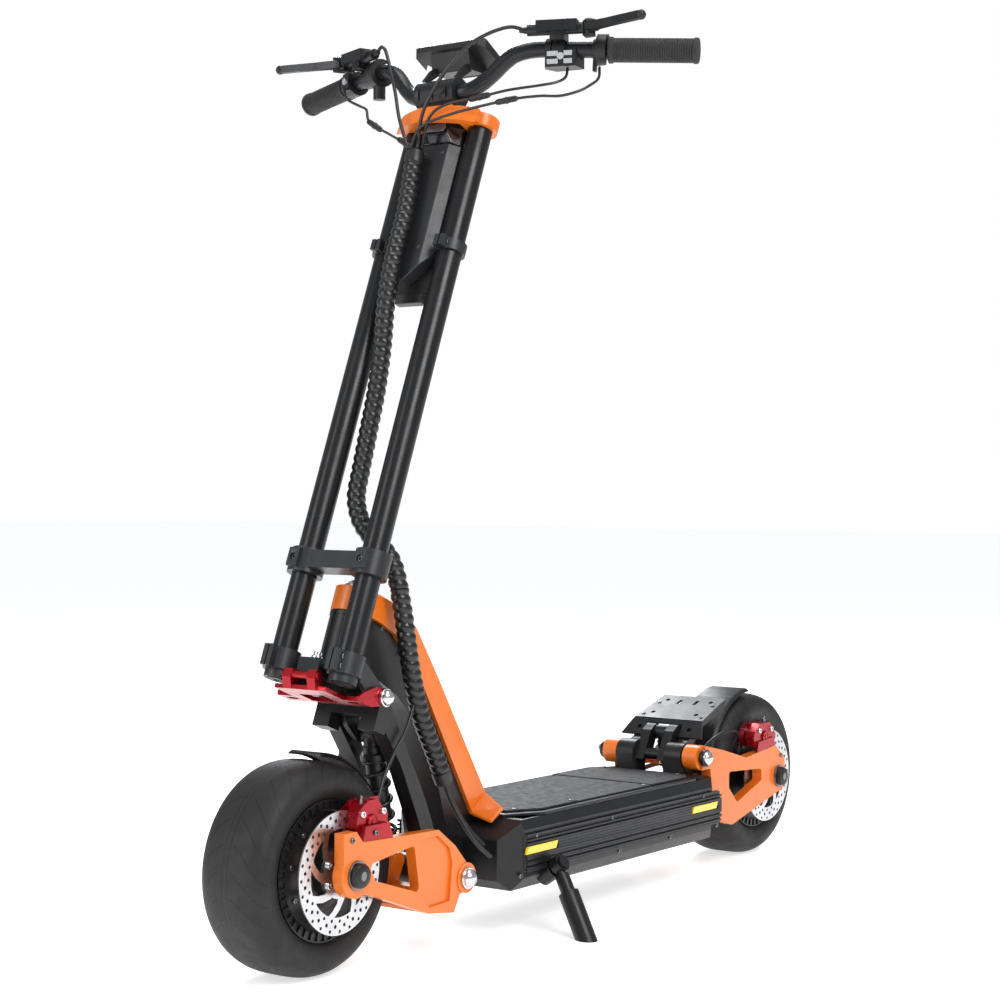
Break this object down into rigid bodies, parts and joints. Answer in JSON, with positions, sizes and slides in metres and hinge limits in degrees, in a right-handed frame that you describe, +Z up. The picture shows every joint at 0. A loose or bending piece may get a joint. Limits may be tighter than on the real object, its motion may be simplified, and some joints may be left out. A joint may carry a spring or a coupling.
{
  "type": "electric kick scooter",
  "caption": "Electric kick scooter with twin stem tubes that fold, swingarm suspension, hub motors, disc brakes, side kickstand and a wide foot deck.",
  "frame": {"origin": "on the floor, at the middle of the bounding box", "axes": "+X forward, +Y to the rider's left, +Z up"},
  "size_m": [1.4376, 0.7152, 1.285],
  "materials": {
    "orange_paint": "satin orange paint",
    "black_metal": "satin black paint",
    "dark_anodised": "black anodised",
    "grey_anodised": "dark grey anodised",
    "red_anodised": "red anodised",
    "silver": "brushed",
    "tyre_rubber": "matt tread rubber",
    "soft_rubber": "moulded rubber",
    "mat_rubber": "textured foot mat",
    "black_plastic": "fine moulded texture",
    "glossy_black": "gloss",
    "yellow_reflector": "prismatic reflector",
    "wrap_plastic": "semi-gloss spiral wrap",
    "battery_film": "heat-shrink film",
    "button_grey": "satin"
  },
  "bodies": {
    "chassis": {"deck_tray": "dark_anodised", "deck_plate": "dark_anodised", "foot_mat": "mat_rubber", "side_rails": "dark_anodised", "side_reflectors": "yellow_reflector", "rear_frame": "black_metal", "neck_sides": "orange_paint", "neck_core": "black_metal", "headset_bearings": "silver", "battery_pack": "battery_film", "motor_controllers": "silver", "kick_plate": "grey_anodised", "kickstand_bracket": "black_metal"},
    "fork": {"steerer": "silver", "fork_crown": "dark_anodised", "fork_arch": "black_metal", "fork_pins": "silver"},
    "latch": {"latch_lever": "red_anodised"},
    "safety": {"safety_pin": "silver"},
    "stem": {"stem_tubes": "dark_anodised", "stem_clamps": "grey_anodised", "stem_crown": "orange_paint", "control_box": "black_plastic", "box_cover": "grey_anodised", "headlight": "glossy_black", "handlebar": "black_metal", "bar_clamp": "dark_anodised", "grips": "soft_rubber", "display": "black_plastic", "brake_masters": "dark_anodised", "switch_pods": "black_plastic", "thumb_housings": "black_plastic", "cable_loom": "wrap_plastic", "bar_cables": "soft_rubber"},
    "front_arm": {"front_swingarm": "orange_paint", "front_axle": "silver", "front_caliper": "red_anodised", "front_mudguard": "black_plastic"},
    "front_wheel": {"front_tyre": "tyre_rubber", "front_motor": "black_metal", "front_rotor": "silver"},
    "front_damper": {"front_shock": "dark_anodised", "front_spring": "black_metal"},
    "front_damper_rod": {"front_shock_rod": "red_anodised"},
    "rear_arm": {"rear_swingarm": "orange_paint", "rear_axle": "silver", "rear_caliper": "red_anodised", "rear_mudguard": "black_plastic"},
    "rear_wheel": {"rear_tyre": "tyre_rubber", "rear_motor": "black_metal", "rear_rotor": "silver"},
    "rear_damper": {"rear_shock": "dark_anodised", "rear_spring": "black_metal"},
    "rear_damper_rod": {"rear_shock_rod": "red_anodised"},
    "stand": {"kickstand": "black_metal"},
    "left_lever": {"brake_lever_left": "dark_anodised"},
    "right_lever": {"brake_lever_right": "dark_anodised"},
    "throttle": {"throttle_paddle": "black_plastic"},
    "horn": {"horn_button": "button_grey"},
    "mode": {"mode_button": "button_grey"}
  },
  "joints": [
    {"name": "steering", "type": "hinge", "parent": "chassis", "child": "fork", "pos_m": [0.47837, 0, 0.4472], "axis": [-0.3637, 0, 0.9315], "range_deg": [-45, 45]},
    {"name": "stem_fold", "type": "hinge", "parent": "fork", "child": "stem", "pos_m": [0.48916, 0, 0.35909], "axis": [0, -1, 0], "range_deg": [0, 15], "deforming": ["cable_loom"]},
    {"name": "latch_swing", "type": "hinge", "parent": "fork", "child": "latch", "pos_m": [0.48916, 0, 0.35909], "axis": [0, 1, 0], "range_deg": [0, 18]},
    {"name": "safety_pull", "type": "slide", "parent": "fork", "child": "safety", "axis": [-0.3637, 0, 0.9315], "range_m": [0, 0.01], "stiffness_N_per_m": 300},
    {"name": "front_suspension", "type": "hinge", "parent": "fork", "child": "front_arm", "pos_m": [0.345, 0, 0.102], "axis": [0, -1, 0], "range_deg": [0, 10], "stiffness_Nm_per_rad": 400, "springref_deg": -11.46},
    {"name": "front_wheel_spin", "type": "hinge", "parent": "front_arm", "child": "front_wheel", "pos_m": [0.5788, 0, 0.14], "axis": [0, 1, 0], "continuous": true},
    {"name": "front_damper_tilt", "type": "hinge", "parent": "fork", "child": "front_damper", "pos_m": [0.43, 0, 0.3], "axis": [0, 1, 0], "range_deg": [0, 2.1]},
    {"name": "front_damper_slide", "type": "slide", "parent": "front_damper", "child": "front_damper_rod", "axis": [0.211, 0, 0.9775], "range_m": [0, 0.0068], "deforming": ["front_spring"]},
    {"name": "rear_suspension", "type": "hinge", "parent": "chassis", "child": "rear_arm", "pos_m": [-0.3165, 0, 0.198], "axis": [0, 1, 0], "range_deg": [0, 10], "stiffness_Nm_per_rad": 400, "springref_deg": -11.46},
    {"name": "rear_wheel_spin", "type": "hinge", "parent": "rear_arm", "child": "rear_wheel", "pos_m": [-0.5788, 0, 0.14], "axis": [0, 1, 0], "continuous": true},
    {"name": "rear_damper_tilt", "type": "hinge", "parent": "chassis", "child": "rear_damper", "pos_m": [-0.345, 0, 0.232], "axis": [0, 1, 0], "range_deg": [0, 8.8]},
    {"name": "rear_damper_slide", "type": "slide", "parent": "rear_damper", "child": "rear_damper_rod", "axis": [0.3542, 0, 0.9352], "range_m": [0, 0.0072], "deforming": ["rear_spring"]},
    {"name": "kickstand_fold", "type": "hinge", "parent": "chassis", "child": "stand", "pos_m": [0.163, 0.13, 0.096], "axis": [0.053, 0.8296, 0.5558], "range_deg": [0, 89]},
    {"name": "left_brake_pull", "type": "hinge", "parent": "stem", "child": "left_lever", "pos_m": [0.241, 0.225, 1.273], "axis": [0, 0, 1], "range_deg": [0, 12], "stiffness_Nm_per_rad": 2},
    {"name": "right_brake_pull", "type": "hinge", "parent": "stem", "child": "right_lever", "pos_m": [0.241, -0.225, 1.273], "axis": [0, 0, -1], "range_deg": [0, 12], "stiffness_Nm_per_rad": 2},
    {"name": "throttle_push", "type": "hinge", "parent": "stem", "child": "throttle", "pos_m": [0.2028, 0.234, 1.2467], "axis": [-0.364, 0.9299, -0.0532], "range_deg": [-30, 0], "stiffness_Nm_per_rad": 0.2},
    {"name": "horn_press", "type": "slide", "parent": "stem", "child": "horn", "axis": [-0.9455, -0.3256, 0], "range_m": [0, 0.0015], "stiffness_N_per_m": 300},
    {"name": "mode_press", "type": "slide", "parent": "stem", "child": "mode", "axis": [-0.9455, 0.3256, 0], "range_m": [0, 0.0015], "stiffness_N_per_m": 300}
  ],
  "couplings": [
    {"joint": "front_damper_tilt", "follows": "front_suspension", "ratio": 0.2},
    {"joint": "front_damper_slide", "follows": "front_suspension", "m_per_rad": 0.03776},
    {"joint": "rear_damper_tilt", "follows": "rear_suspension", "ratio": 0.864},
    {"joint": "rear_damper_slide", "follows": "rear_suspension", "m_per_rad": 0.04017}
  ]
}
